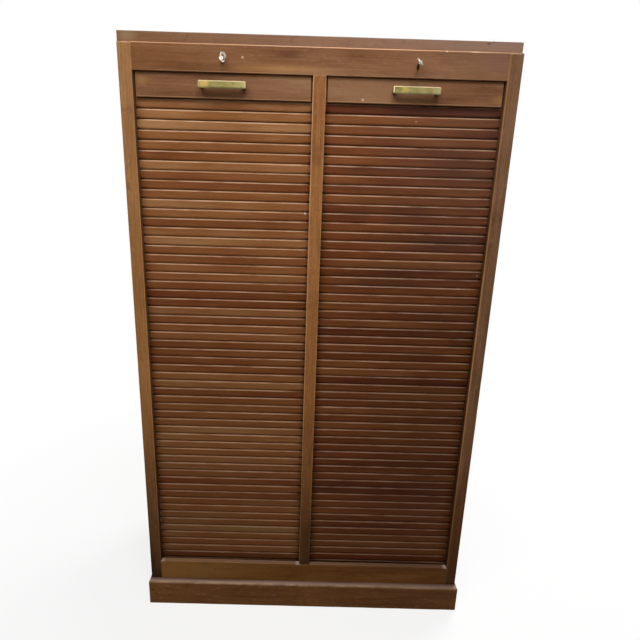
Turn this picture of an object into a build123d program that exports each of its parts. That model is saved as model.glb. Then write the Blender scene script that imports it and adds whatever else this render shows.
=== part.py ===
"""Double tambour filing cabinet in stained hardwood.

Two slatted curtains, each led by a wide bar with a brass handle, slide down in grooves routed in
the sides and in the centre partition. Below the floor the grooves turn back and climb behind the
inner backs, where an open curtain is stored. Each curtain locks at the top with a bolt that drops
out of a lock behind the top rail.

Lengths are in millimetres. X runs to the right, Z up, and Y back from the face of the front frame.
When a piece is written it is moved so that the middle of the whole cabinet stands on the origin.
"""

import os
from math import cos, pi, radians, sin

from build123d import *

# Carcass
cabinet_width = 900.0
cabinet_depth = 400.0
frame_height = 1427.0
side_thickness = 20.0
partition_thickness = 20.0
top_thickness = 24.0
top_setback = 10.0
bottom_thickness = 10.0
floor_thickness = 18.0

# Front frame
frame_thickness = 17.0
stile_width = 30.0
centre_stile_width = 30.0
top_rail_height = 57.0
bottom_rail_height = 59.0
frame_edge_bevel = 1.6
board_arris = 0.8

# Plinth
plinth_height = 78.0
plinth_board = 25.0
plinth_proud_front = 15.0
plinth_proud_side = 5.0
plinth_bevel = 4.0
corner_block_leg = 50.0

# Curtain slats and the canvas glued to their backs
slat_pitch = 22.4
slat_gap = 2.0
slat_thickness = 9.0
slat_face_depth = 22.5
slat_bevel_height = 4.2
slat_bevel_depth = 2.6
slat_end_gap = 1.0
tongue_thickness = 5.0
tongue_length = 6.0
tongue_trim = 2.0
tail_slats = 3
canvas_thickness = 1.0
canvas_end_margin = 4.0

# Lead bar at the top of each curtain
lead_bar_height = 52.0
lead_bar_face_depth = 8.0
lead_bar_top_gap = 1.5
lead_bar_end_gap = 4.0
lead_bar_back_play = 1.5
lead_bar_stop_gap = 2.0

# Track
groove_depth = 7.0
groove_width = 7.0
track_radius = 40.0
track_clearance = 3.0
track_top_overrun = 12.0
back_track_inset = 22.0
back_track_height = 1250.0

# Backs, shelves and cleats
inner_back_thickness = 6.0
inner_back_clearance = 21.0
outer_back_thickness = 6.0
back_rebate = 10.0
back_panel_gap = 1.0
shelves_per_bay = 3
shelf_thickness = 16.0
shelf_front_depth = 45.0
shelf_end_play = 0.5
floor_front_depth = 40.0
cleat_height = 18.0
cleat_thickness = 14.0
cleat_setback = 15.0

# Handle
handle_length = 106.0
handle_height = 16.0
handle_thickness = 4.5
handle_corner = 1.8
handle_bevel = 2.4
handle_standoff = 19.0
handle_foot_width = 8.0
handle_foot_height = 12.0
handle_foot_inset = 1.5
handle_screw_radius = 2.0
handle_screw_head_radius = 4.0
handle_screw_bite = 10.0
screw_play = 0.1

# Lock, bolt and strike
keyhole_above_opening = 26.0
lock_width = 60.0
lock_height = 46.0
lock_depth = 14.0
lock_wall = 1.5
lock_ear = 12.0
lock_screw_radius = 1.8
lock_screw_head_radius = 3.4
lock_screw_head_height = 1.6
lock_screw_bite = 9.0
bolt_travel = 11.0
bolt_thickness = 3.2
bolt_head_width = 28.0
bolt_body_width = 34.0
bolt_play = 0.4
bolt_rim = 3.0
strike_length = 50.0
strike_width = 14.0
strike_thickness = 1.5
mortise_length = 34.0
mortise_width = 6.0
mortise_depth = 14.0

# Key
key_shaft_radius = 2.75
key_bit_reach = 9.0
key_bit_thickness = 2.4
key_bit_width = 4.0
key_collar_radius = 4.0
key_collar_width = 2.0
key_bow_width = 21.0
key_bow_length = 17.0
key_bow_thickness = 2.8
key_bow_limb = 3.8
key_bow_sink = 2.5
keyhole_play = 0.7
left_key_neck = 12.0
left_key_roll = -15.0
left_key_bend = 50.0
right_key_neck = 24.0
right_key_roll = -42.0
right_key_bend = -15.0

# Places worked out from the sizes above
half_width = cabinet_width / 2
inside_half = half_width - side_thickness
partition_face = partition_thickness / 2
bay_middle = (half_width - stile_width + centre_stile_width / 2) / 2
frame_base = plinth_height
frame_top = frame_base + frame_height
opening_bottom = frame_base + bottom_rail_height
opening_top = frame_top - top_rail_height
bottom_top = frame_base + bottom_thickness
floor_top = opening_bottom
floor_base = floor_top - floor_thickness
back_panel_face = cabinet_depth - outer_back_thickness
back_track_depth = back_panel_face - back_track_inset
inner_back_depth = back_track_depth - inner_back_clearance - inner_back_thickness

slat_height = slat_pitch - slat_gap
slat_back = slat_face_depth + slat_thickness
track_depth = slat_back - tongue_thickness / 2
slat_overhang = track_depth - slat_face_depth
track_low = bottom_top + slat_overhang + track_clearance
track_turn = track_low + track_radius
lead_bar_top = opening_top - lead_bar_top_gap
lead_bar_bottom = lead_bar_top - lead_bar_height
lead_bar_middle = lead_bar_bottom + lead_bar_height / 2
curtain_run = lead_bar_bottom - track_turn
curtain_slats = int(curtain_run / slat_pitch) + tail_slats
tambour_travel = lead_bar_bottom - opening_bottom - lead_bar_stop_gap

keyhole_height = opening_top + keyhole_above_opening
bolt_foot = keyhole_height - key_bit_reach - bolt_play - bolt_rim
lock_base = bolt_foot - bolt_travel - bolt_play - lock_wall
bolt_depth = frame_thickness + lock_depth / 2
key_lean = radians(abs(right_key_bend))
key_reach = right_key_neck + (key_bow_length - key_bow_sink) * cos(key_lean)
key_reach += key_bow_thickness / 2 * sin(key_lean)
origin_shift = (key_reach - cabinet_depth) / 2


def block(x_range, y_range, z_range):
    """A square-edged solid between two limits on each axis."""
    size = [high - low for low, high in (x_range, y_range, z_range)]
    middle = [(high + low) / 2 for low, high in (x_range, y_range, z_range)]
    return Pos(*middle) * Box(*size)


def front_board(x_range, z_range, bevel=board_arris):
    """A board of the front frame, with its four front edges eased."""
    board = block(x_range, (0, frame_thickness), z_range)
    return chamfer(board.faces().sort_by(Axis.Y)[0].edges(), bevel)


def flip(shape):
    """The same piece on the other side of the cabinet."""
    return shape.mirror(Plane.YZ)


def rod(radius, y_range, x=0, z=0):
    """A round bar along the depth."""
    length = y_range[1] - y_range[0]
    return Pos(x, (y_range[0] + y_range[1]) / 2, z) * Rot(X=90) * Cylinder(radius, length)


def track_line():
    """Middle of the groove, from above the opening down, under the floor and up the back."""
    return FilletPolyline(
        (track_depth, lead_bar_top + track_top_overrun),
        (track_depth, track_low),
        (back_track_depth, track_low),
        (back_track_depth, back_track_height),
        radius=track_radius,
    )


def track_groove(face_x, depth):
    """The groove as a solid that starts at face_x and goes depth along X."""
    outline = Plane.YZ * trace(track_line(), groove_width)
    return Pos(face_x, 0, 0) * extrude(outline, amount=depth, dir=(1, 0, 0))


def side():
    """Left side, with the track in its inner face and a rebate for the back panel."""
    board = block((-half_width, -inside_half), (frame_thickness, cabinet_depth), (frame_base, frame_top))
    board -= track_groove(-inside_half - groove_depth, groove_depth)
    rebate_x = (-inside_half - back_rebate, -inside_half)
    return board - block(rebate_x, (back_panel_face, cabinet_depth), (frame_base, frame_top))


def partition():
    """Board between the bays, with a track in each face."""
    x_range = (-partition_face, partition_face)
    board = block(x_range, (frame_thickness, back_panel_face), (bottom_top, frame_top))
    board -= track_groove(-partition_face, groove_depth)
    return board - track_groove(partition_face - groove_depth, groove_depth)


def outer_stile():
    """Left stile, full height, with its top end bevelled."""
    board = front_board((-half_width, stile_width - half_width), (frame_base, frame_top))
    return bevel_top(board)


def bevel_top(board):
    """The worn bevel along the top front edge of the frame."""
    front = -frame_edge_bevel
    corner = Plane.YZ * Polygon(
        (front, frame_top + frame_edge_bevel),
        (front, frame_top - frame_edge_bevel),
        (0, frame_top - frame_edge_bevel),
        (frame_edge_bevel, frame_top),
        (frame_edge_bevel, frame_top + frame_edge_bevel),
        align=None,
    )
    return board - extrude(corner, amount=half_width, both=True)


def centre_stile():
    """Stile in front of the partition, between the two rails."""
    half = centre_stile_width / 2
    return front_board((-half, half), (opening_bottom, opening_top))


def keyhole(x):
    """Round hole and slot for the key's bit."""
    hole_radius = key_shaft_radius + keyhole_play
    slot_half = key_bit_thickness / 2 + keyhole_play
    slot_foot = keyhole_height - key_bit_reach - keyhole_play
    hole = rod(hole_radius, (0, frame_thickness), x, keyhole_height)
    slot = block((x - slot_half, x + slot_half), (0, frame_thickness), (slot_foot, keyhole_height))
    return hole + slot


def top_rail():
    """Rail between the outer stiles, with a keyhole over each curtain."""
    reach = half_width - stile_width
    board = bevel_top(front_board((-reach, reach), (opening_top, frame_top)))
    for x in (-bay_middle, bay_middle):
        board -= keyhole(x)
        for screw_x in lock_screw_places(x):
            pilot = (frame_thickness - lock_screw_bite, frame_thickness)
            board -= rod(lock_screw_radius + screw_play, pilot, screw_x, keyhole_height)
    return board


def bottom_rail():
    """Rail between the outer stiles, on the plinth."""
    reach = half_width - stile_width
    return front_board((-reach, reach), (frame_base, opening_bottom))


def top_board():
    """Top, set back from the frame's face, with its edges eased."""
    z_range = (frame_top, frame_top + top_thickness)
    board = block((-half_width, half_width), (top_setback, cabinet_depth), z_range)
    return chamfer(board.faces().sort_by(Axis.Z)[-1].edges(), board_arris)


def bottom_board():
    """Thin board on the plinth that closes the track space from below."""
    x_range = (-inside_half, inside_half)
    return block(x_range, (frame_thickness, back_panel_face), (frame_base, bottom_top))


def bay_floor():
    """Floor of the left bay, over the track."""
    x_range = (-inside_half, -partition_face)
    return block(x_range, (floor_front_depth, inner_back_depth), (floor_base, floor_top))


def inner_back():
    """Panel that parts the left bay from the stored curtain."""
    y_range = (inner_back_depth, inner_back_depth + inner_back_thickness)
    return block((-inside_half, -partition_face), y_range, (floor_base, frame_top))


def outer_back():
    """Left back panel, in the side's rebate and on the partition's edge."""
    x_range = (-inside_half - back_rebate, -back_panel_gap / 2)
    return block(x_range, (back_panel_face, cabinet_depth), (frame_base, frame_top))


def shelf_heights():
    """Undersides of a bay's shelves, evenly spaced between floor and top."""
    clear = frame_top - floor_top - shelves_per_bay * shelf_thickness
    space = clear / (shelves_per_bay + 1)
    return [floor_top + space + n * (space + shelf_thickness) for n in range(shelves_per_bay)]


def shelf(base):
    """One shelf of the left bay, with its front edges eased."""
    x_range = (shelf_end_play - inside_half, -partition_face - shelf_end_play)
    board = block(x_range, (shelf_front_depth, inner_back_depth), (base, base + shelf_thickness))
    front = board.faces().sort_by(Axis.Y)[0]
    return chamfer(front.edges().filter_by(Axis.X), board_arris)


def cleats():
    """The bars under the left bay's shelves, one at each end of each shelf."""
    y_range = (shelf_front_depth + cleat_setback, inner_back_depth)
    bars = []
    for base in shelf_heights():
        z_range = (base - cleat_height, base)
        bars.append(block((-inside_half, cleat_thickness - inside_half), y_range, z_range))
        bars.append(block((-partition_face - cleat_thickness, -partition_face), y_range, z_range))
    return Compound(bars)


def plinth_front():
    """Front board of the plinth, bevelled along its top edge and down to its ends."""
    reach = half_width + plinth_proud_side
    y_range = (-plinth_proud_front, plinth_board - plinth_proud_front)
    board = block((-reach, reach), y_range, (0, plinth_height))
    top = board.faces().sort_by(Axis.Z)[-1].edges()
    return chamfer(top - [top.sort_by(Axis.Y)[-1]], plinth_bevel)


def plinth_side():
    """Left end of the plinth, butted behind its front board."""
    reach = half_width + plinth_proud_side
    y_range = (plinth_board - plinth_proud_front, cabinet_depth)
    board = block((-reach, plinth_board - reach), y_range, (0, plinth_height))
    top = board.faces().sort_by(Axis.Z)[-1].edges()
    return chamfer(top.sort_by(Axis.X)[0], plinth_bevel)


def plinth_back():
    """Back board of the plinth, between its ends."""
    reach = half_width + plinth_proud_side - plinth_board
    return block((-reach, reach), (cabinet_depth - plinth_board, cabinet_depth), (0, plinth_height))


def corner_blocks():
    """Glued three-cornered blocks inside the plinth."""
    reach = half_width + plinth_proud_side - plinth_board
    front = plinth_board - plinth_proud_front
    back = cabinet_depth - plinth_board
    leg = corner_block_leg
    blocks = []
    for x, x_leg in ((-reach, leg), (reach, -leg)):
        for y, y_leg in ((front, leg), (back, -leg)):
            corner = Polygon((x, y), (x + x_leg, y), (x, y + y_leg), align=None)
            blocks.append(extrude(corner, amount=plinth_height, dir=(0, 0, 1)))
    return Compound(blocks)


def slat_shape():
    """One slat on the track's middle line: bevelled upper edge, square lower edge, two tongues.

    The slat lies across the left bay with its face towards -Y and its own height along Z.
    """
    half = slat_height / 2
    rear = tongue_thickness / 2
    profile = Plane.YZ * Polygon(
        (-slat_overhang, -half),
        (-slat_overhang, half - slat_bevel_height),
        (slat_bevel_depth - slat_overhang, half),
        (rear, half),
        (rear, -half),
        align=None,
    )
    left = slat_end_gap - inside_half
    right = -partition_face - slat_end_gap
    body = Pos(left, 0, 0) * extrude(profile, amount=right - left, dir=(1, 0, 0))
    tongue_x = (left - tongue_length, right + tongue_length)
    return body + block(tongue_x, (-rear, rear), (tongue_trim - half, half - tongue_trim))


def track_place(travel):
    """Where a slat's middle lies, a length travel down the track from the lead bar."""
    if travel <= curtain_run:
        return Pos(0, track_depth, lead_bar_bottom - travel)
    turn = (travel - curtain_run) / track_radius
    depth = track_depth + track_radius * (1 - cos(turn))
    height = track_turn - track_radius * sin(turn)
    return Pos(0, depth, height) * Rot(X=turn * 180 / pi)


def slats():
    """The left curtain's slats, the last of them already round the turn."""
    slat = slat_shape()
    places = [track_place((n + 1 / 2) * slat_pitch) for n in range(curtain_slats)]
    return Compound([place * slat for place in places])


def canvas():
    """Backing cloth of the left curtain, glued to the slats and carried round the turn."""
    inset = (tongue_thickness + canvas_thickness) / 2
    radius = track_radius - inset
    tail_angle = (curtain_slats * slat_pitch - curtain_run) / track_radius
    hub = (track_depth + track_radius, track_turn)
    straight = Line((track_depth + inset, lead_bar_bottom), (track_depth + inset, track_turn))
    bend = CenterArc(hub, radius, 180, min(tail_angle, pi / 2) * 180 / pi)
    outline = Plane.YZ * trace(Wire([straight, bend]), canvas_thickness)
    left = canvas_end_margin - inside_half
    right = -partition_face - canvas_end_margin
    return Pos(left, 0, 0) * extrude(outline, amount=right - left, dir=(1, 0, 0))


def lead_bar():
    """Left lead bar: its face stands between the stiles, its back runs in the grooves."""
    z_range = (lead_bar_bottom, lead_bar_top)
    face_x = (stile_width + lead_bar_end_gap - half_width, -centre_stile_width / 2 - lead_bar_end_gap)
    back_x = (slat_end_gap - inside_half, -partition_face - slat_end_gap)
    tongue_x = (back_x[0] - tongue_length, back_x[1] + tongue_length)
    shoulder = frame_thickness + lead_bar_back_play
    face = block(face_x, (lead_bar_face_depth, slat_back), z_range)
    face = chamfer(face.faces().sort_by(Axis.Y)[0].edges(), board_arris)
    bar = face + block(back_x, (shoulder, slat_back), z_range)
    bar += block(tongue_x, (slat_back - tongue_thickness, slat_back), z_range)
    middle = -bay_middle
    half_strike = strike_length / 2
    half_mortise = mortise_length / 2
    strike_y = (bolt_depth - strike_width / 2, bolt_depth + strike_width / 2)
    mortise_y = (bolt_depth - mortise_width / 2, bolt_depth + mortise_width / 2)
    housing_z = (lead_bar_top - strike_thickness, lead_bar_top)
    mortise_z = (lead_bar_top - mortise_depth, lead_bar_top)
    bar -= block((middle - half_strike, middle + half_strike), strike_y, housing_z)
    bar -= block((middle - half_mortise, middle + half_mortise), mortise_y, mortise_z)
    for x in handle_foot_places():
        hole = rod(handle_screw_radius + screw_play, (lead_bar_face_depth, slat_back), x, lead_bar_middle)
        bar -= hole + screw_head(x, screw_play)
    return bar


def strike_plate():
    """Brass plate let into the top of the left lead bar, with the slot for the bolt."""
    middle = -bay_middle
    y_range = (bolt_depth - strike_width / 2, bolt_depth + strike_width / 2)
    z_range = (lead_bar_top - strike_thickness, lead_bar_top)
    x_range = (middle - strike_length / 2, middle + strike_length / 2)
    slot_x = (middle - mortise_length / 2, middle + mortise_length / 2)
    slot_y = (bolt_depth - mortise_width / 2, bolt_depth + mortise_width / 2)
    return block(x_range, y_range, z_range) - block(slot_x, slot_y, z_range)


def handle_foot_places():
    """Middles of the left handle's feet."""
    reach = handle_length / 2 - handle_foot_inset - handle_foot_width / 2
    return (-bay_middle - reach, -bay_middle + reach)


def handle():
    """Left pull: a flat bevelled brass bar on two feet, which are drilled for the screws."""
    face_y = lead_bar_face_depth - handle_standoff - handle_thickness
    x_range = (-bay_middle - handle_length / 2, -bay_middle + handle_length / 2)
    z_range = (lead_bar_middle - handle_height / 2, lead_bar_middle + handle_height / 2)
    bar = block(x_range, (face_y, face_y + handle_thickness), z_range)
    pull = chamfer(bar.edges().filter_by(Axis.Y), handle_corner)
    pull = chamfer(pull.faces().sort_by(Axis.Y)[0].edges(), handle_bevel)
    foot_y = (face_y + handle_thickness, lead_bar_face_depth)
    foot_z = (lead_bar_middle - handle_foot_height / 2, lead_bar_middle + handle_foot_height / 2)
    bore_y = (lead_bar_face_depth - handle_screw_bite, lead_bar_face_depth)
    for x in handle_foot_places():
        pull += block((x - handle_foot_width / 2, x + handle_foot_width / 2), foot_y, foot_z)
        pull -= rod(handle_screw_radius + screw_play, bore_y, x, lead_bar_middle)
    return pull


def screw_head(x, play=0):
    """Countersunk head flush with the back of the lead bar."""
    height = handle_screw_head_radius - handle_screw_radius
    cone = Cone(handle_screw_radius + play, handle_screw_head_radius + play, height)
    return Pos(x, slat_back - height / 2, lead_bar_middle) * Rot(X=-90) * cone


def handle_screws():
    """The two machine screws that hold the left handle from behind."""
    tip = lead_bar_face_depth - handle_screw_bite + screw_play
    neck = slat_back - handle_screw_head_radius + handle_screw_radius
    screws = []
    for x in handle_foot_places():
        screws.append(rod(handle_screw_radius, (tip, neck), x, lead_bar_middle) + screw_head(x))
    return Compound(screws)


def lock_screw_places(x):
    """Middles of the two ears of the lock at x."""
    reach = (lock_width + lock_ear) / 2
    return (x - reach, x + reach)


def lock_case():
    """Pressed steel case on the back of the rail, open towards the rail, slotted below."""
    middle = -bay_middle
    half = lock_width / 2
    rear = frame_thickness + lock_depth
    top = lock_base + lock_height
    shell = block((middle - half, middle + half), (frame_thickness, rear), (lock_base, top))
    shell -= block(
        (middle - half + lock_wall, middle + half - lock_wall),
        (frame_thickness, rear - lock_wall),
        (lock_base + lock_wall, top - lock_wall),
    )
    ear_y = (frame_thickness, frame_thickness + lock_wall)
    for side_x, ear_x in ((middle - half, -lock_ear), (middle + half, lock_ear)):
        ear_range = (min(side_x, side_x + ear_x), max(side_x, side_x + ear_x))
        shell += block(ear_range, ear_y, (lock_base, top))
    for x in lock_screw_places(middle):
        shell -= rod(lock_screw_radius + screw_play, ear_y, x, keyhole_height)
    slot_half = bolt_head_width / 2 + bolt_play
    slot_y = bolt_depth_range(bolt_play)
    return shell - block((middle - slot_half, middle + slot_half), slot_y, (lock_base, lock_base + lock_wall))


def bolt_depth_range(play=0):
    """Front and back of the bolt, with a play on each."""
    half = bolt_thickness / 2 + play
    return (bolt_depth - half, bolt_depth + half)


def lock_bolt():
    """Bolt with the window in which the key's bit turns, drawn up into the case."""
    middle = -bay_middle
    head_foot = lock_base + lock_wall / 2
    window_top = keyhole_height + key_shaft_radius + bolt_travel + bolt_play
    y_range = bolt_depth_range()
    half_head = bolt_head_width / 2
    half_body = bolt_body_width / 2
    half_window = half_body - bolt_rim
    plate = block((middle - half_head, middle + half_head), y_range, (head_foot, bolt_foot))
    body_z = (bolt_foot, window_top + bolt_rim)
    window_z = (bolt_foot + bolt_rim, window_top)
    plate += block((middle - half_body, middle + half_body), y_range, body_z)
    return plate - block((middle - half_window, middle + half_window), y_range, window_z)


def lock_screws():
    """Round-headed screws through the ears of both lock cases."""
    ear_back = frame_thickness + lock_wall
    tip = frame_thickness - lock_screw_bite + screw_play
    screws = []
    for middle in (-bay_middle, bay_middle):
        for x in lock_screw_places(middle):
            shank = rod(lock_screw_radius, (tip, ear_back), x, keyhole_height)
            head_y = (ear_back, ear_back + lock_screw_head_height)
            screws.append(shank + rod(lock_screw_head_radius, head_y, x, keyhole_height))
    return Compound(screws)


def key(x, neck, roll, bend):
    """Key at x, neck clear of the rail, turned by roll about its shaft, its bow bent by bend."""
    shaft = rod(key_shaft_radius, (-neck, bolt_depth + bolt_thickness / 2))
    shaft += rod(key_collar_radius, (-neck, key_collar_width - neck))
    half_bit = key_bit_thickness / 2
    bit_y = (bolt_depth - key_bit_width / 2, bolt_depth + key_bit_width / 2)
    shaft += block((-half_bit, half_bit), bit_y, (-key_bit_reach, 0))
    rim = Ellipse(key_bow_length / 2, key_bow_width / 2)
    eye = Ellipse(key_bow_length / 2 - key_bow_limb, key_bow_width / 2 - key_bow_limb)
    bow = extrude(Plane.YZ * (rim - eye), amount=key_bow_thickness / 2, both=True)
    bow = Pos(0, key_bow_sink - key_bow_length / 2, 0) * bow
    bow = Pos(0, -neck, 0) * Rot(Z=bend) * bow
    return Pos(x, 0, keyhole_height) * Rot(Y=roll) * (shaft + bow)


def pieces():
    """Every sub-part by its name, at rest and in the cabinet's own place."""
    parts = {
        "left_side": side(),
        "centre_partition": partition(),
        "left_stile": outer_stile(),
        "centre_stile": centre_stile(),
        "top_rail": top_rail(),
        "bottom_rail": bottom_rail(),
        "top_board": top_board(),
        "bottom_board": bottom_board(),
        "left_floor": bay_floor(),
        "left_inner_back": inner_back(),
        "left_back_panel": outer_back(),
        "plinth_front": plinth_front(),
        "plinth_left": plinth_side(),
        "plinth_back": plinth_back(),
        "plinth_blocks": corner_blocks(),
        "left_cleats": cleats(),
        "left_slats": slats(),
        "left_canvas": canvas(),
        "left_lead_bar": lead_bar(),
        "left_strike_plate": strike_plate(),
        "left_handle": handle(),
        "left_handle_screws": handle_screws(),
        "left_lock_case": lock_case(),
        "left_lock_bolt": lock_bolt(),
        "lock_screws": lock_screws(),
    }
    for number, base in enumerate(shelf_heights(), start=1):
        parts[f"left_shelf_{number}"] = shelf(base)
    parts["plinth_right"] = flip(parts["plinth_left"])
    for name in [name for name in parts if name.startswith("left_")]:
        parts[name.replace("left_", "right_")] = flip(parts[name])
    parts["left_key"] = key(-bay_middle, left_key_neck, left_key_roll, left_key_bend)
    parts["right_key"] = key(bay_middle, right_key_neck, right_key_roll, right_key_bend)
    return parts


os.makedirs("parts", exist_ok=True)
for name, shape in pieces().items():
    export_step(Pos(0, origin_shift, 0) * shape, f"parts/{name}.step")
print(f"slats in a curtain {curtain_slats}, curtain travel {tambour_travel:.1f}")
print(f"bolt travel for each radian of the key {bolt_travel / radians(90):.4f}")
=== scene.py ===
"""Dressed model of the double tambour filing cabinet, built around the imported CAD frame.

The stiles, bottom rail, top board, plinth boards, back panels, slats and canvas are modelled here in
place of their plain solids, and the back panels' pins are added. The top rail, lead bars, handles,
keys, locks, sides, partition, floors, shelves and inner backs keep their CAD meshes and get their
materials here. Lengths are metres.
"""

import math
import random

import bmesh
import bpy
from mathutils import Matrix, Vector, noise


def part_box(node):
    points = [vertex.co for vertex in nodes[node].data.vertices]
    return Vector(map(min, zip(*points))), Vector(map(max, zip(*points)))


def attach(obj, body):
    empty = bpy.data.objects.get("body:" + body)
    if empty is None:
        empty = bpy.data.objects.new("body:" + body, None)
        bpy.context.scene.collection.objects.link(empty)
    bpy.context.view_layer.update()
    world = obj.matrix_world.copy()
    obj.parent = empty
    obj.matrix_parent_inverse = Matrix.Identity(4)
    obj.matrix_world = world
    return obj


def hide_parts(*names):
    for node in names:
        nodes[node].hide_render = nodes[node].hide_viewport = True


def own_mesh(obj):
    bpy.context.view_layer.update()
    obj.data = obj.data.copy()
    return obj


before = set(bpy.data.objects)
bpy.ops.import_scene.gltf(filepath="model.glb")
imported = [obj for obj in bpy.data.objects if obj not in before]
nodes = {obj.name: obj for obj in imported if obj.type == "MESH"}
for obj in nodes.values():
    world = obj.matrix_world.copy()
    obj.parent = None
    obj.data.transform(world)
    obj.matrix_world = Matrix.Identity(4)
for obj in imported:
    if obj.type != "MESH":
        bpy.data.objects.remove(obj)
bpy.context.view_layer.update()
MM = 0.001
FACE = -0.18082  # where the front faces of the stiles and rails lie, along y

# ---- Camera, from a fit to the frame corners, stiles and slats of the photograph

PHOTO_SIDE = 640
FOCAL_SHARE = 480 / PHOTO_SIDE
SENSOR = 36.0
SIDE_SHIFT = 14.257 / PHOTO_SIDE
CAMERA_PLACE = Vector((-0.0216, FACE - 1.1767, 1.1978))
CAMERA_PITCH = math.radians(-15.048)
CAMERA_YAW = math.radians(-0.287)
CAMERA_ROLL = math.radians(1.662)


def place_camera():
    """The camera of the photograph: a phone held at chest height, tipped down and a little askew."""
    data = bpy.data.cameras.new("camera")
    data.sensor_width = SENSOR
    data.lens = SENSOR * FOCAL_SHARE
    data.shift_x = SIDE_SHIFT
    camera = bpy.data.objects.new("camera", data)
    level = Matrix.Rotation(math.radians(90), 4, "X")
    turned = Matrix.Rotation(CAMERA_YAW, 4, "Z") @ Matrix.Rotation(CAMERA_PITCH, 4, "X") @ level
    held = Matrix.Translation(CAMERA_PLACE) @ turned
    camera.matrix_world = held @ Matrix.Rotation(CAMERA_ROLL, 4, "Z")
    bpy.context.scene.collection.objects.link(camera)
    bpy.context.scene.camera = camera


place_camera()

# ---- Shader nodes and layers of a finish

WHITE = (1.0, 1.0, 1.0, 1.0)
BLACK = (0.0, 0.0, 0.0, 1.0)
FLAT_FACE = 0.995  # the largest part of a flat face's normal, at least
ARRIS_FACE = 0.97  # and of an arris's or a bevel's, at most


def colour(code):
    """Linear colour of an sRGB hex value."""
    parts = [int(code[i : i + 2], 16) / 255 for i in (1, 3, 5)]
    return (*(p / 12.92 if p <= 0.04045 else ((p + 0.055) / 1.055) ** 2.4 for p in parts), 1.0)


def add(tree, kind, inputs=None, stops=(), **settings):
    """A shader node with its settings, its ramp stops, and its inputs set or linked.

    Inputs go by name or number. Those of a Map Range are its value, the two ends of the span that
    it reads and the two ends of the span that it gives.
    """
    node = tree.nodes.new(kind)
    for name, value in settings.items():
        setattr(node, name, value)
    for name, value in (inputs or {}).items():
        if isinstance(value, bpy.types.NodeSocket):
            tree.links.new(value, node.inputs[name])
        else:
            node.inputs[name].default_value = value
    for number, (place, shade) in enumerate(stops):
        ramp = node.color_ramp.elements
        stop = ramp[number] if number < len(ramp) else ramp.new(place)
        stop.position = place
        stop.color = shade
    return node


def blank(name):
    """A new material with only its output and shader, and the two of them."""
    material = bpy.data.materials.new(name)
    material.use_nodes = True
    tree = material.node_tree
    tree.nodes.clear()
    shader = add(tree, "ShaderNodeBsdfPrincipled")
    add(tree, "ShaderNodeOutputMaterial", {"Surface": shader.outputs[0]})
    return material, tree, shader


def arris_share(tree, facing, amount):
    """How far a face is an arris or a bevel, which looks along no axis, times amount."""
    sides = add(tree, "ShaderNodeVectorMath", {0: facing}, operation="ABSOLUTE").outputs[0]
    sides = add(tree, "ShaderNodeSeparateXYZ", {0: sides}).outputs
    most = add(tree, "ShaderNodeMath", {0: sides[0], 1: sides[1]}, operation="MAXIMUM").outputs[0]
    most = add(tree, "ShaderNodeMath", {0: most, 1: sides[2]}, operation="MAXIMUM").outputs[0]
    span = {0: most, 1: FLAT_FACE, 2: ARRIS_FACE, 3: 0.0, 4: amount}
    return add(tree, "ShaderNodeMapRange", span).outputs[0]


def mark_layers(tree, home, uneven, marks):
    """Marks as layers of a finish, with edges that the pattern uneven makes ragged.

    A mark is a centre, its reach along the axes, a shade and a strength. A centre's middle number is
    how far it lies behind the face of the frame.
    """
    layers = []
    for (x, behind, z), reach, shade, strength in marks:
        centre, per_reach = (x, FACE + behind, z), [1 / r for r in reach]
        away = add(tree, "ShaderNodeVectorMath", {0: home, 1: centre}, operation="SUBTRACT").outputs[0]
        away = add(tree, "ShaderNodeVectorMath", {0: away, 1: per_reach}, operation="MULTIPLY")
        far = add(tree, "ShaderNodeVectorMath", {0: away.outputs[0]}, operation="LENGTH")
        ragged = {0: uneven, 1: 1.1, 2: far.outputs["Value"]}
        ragged = add(tree, "ShaderNodeMath", ragged, operation="MULTIPLY_ADD").outputs[0]
        near = add(tree, "ShaderNodeMapRange", {0: ragged, 1: 1.5, 2: 0.5, 3: 0.0, 4: strength})
        layers.append((near.outputs[0], shade))
    return layers


def laid_on(tree, base, layers):
    """The colour base with layers of stain, wear or dust on it, each how far it covers and its shade."""
    for cover, shade in layers:
        mixed = add(tree, "ShaderNodeMix", {0: cover, 6: base, 7: colour(shade)}, data_type="RGBA")
        base = mixed.outputs[2]
    return base


# ---- Kinds of finish

ALONG_X, ALONG_Y, ALONG_Z = range(3)

# Patterns of a wood: how many times longer they are along the grain, how many go to a metre across
# it, and the noise's detail, roughness and distortion
RIBBONS = (14, 42, 2.5, 0.55, 0.35)  # bands of interlocked grain, 24 mm wide
FIBRE = (26, 330, 4.0, 0.6, 0.0)  # bundles of fibre, 3 mm
CLOUDS = (2.5, 9, 3.0, 0.5, 0.6)  # uneven stain and wax, 110 mm
PORES = (11, 950, 2.0, 0.4, 0.0)  # 0.2 mm in real wood, too fine to show, so drawn 1 mm wide
RUBS = (3, 55, 3.0, 0.5, 0.0)  # wear on an arris that comes and goes, 18 mm
FLECKS = (2.2, 150, 3.0, 0.6, 0.0)  # pale rubbed flecks, 7 mm
SCUFFS = (2.0, 26, 5.0, 0.7, 1.5)  # dark scuffs, 38 mm
GRIT = (1, 700, 4.0, 0.65, 0.0)  # dust, too fine to show, so drawn in grains of 1.4 mm

BOARD_JUMP = (7.3, 3.1, 5.7)  # how far apart the boards of two slats can lie in the patterns
PORE_SHARE = 0.22
PORE_DEPTH = 0.12 * MM
PORE_DIRT = "#221008"
RED_HEART = "#4A150B"
DUST = "#A08C80"
# dirt and painted shade, darkening the wood towards the floor
FLOOR_GRIME_AND_SHADE = "#1E1006"
GRIME_AND_SHADE_FOOT = 0.05  # the height at which grime and painted shade are at full strength


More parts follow.
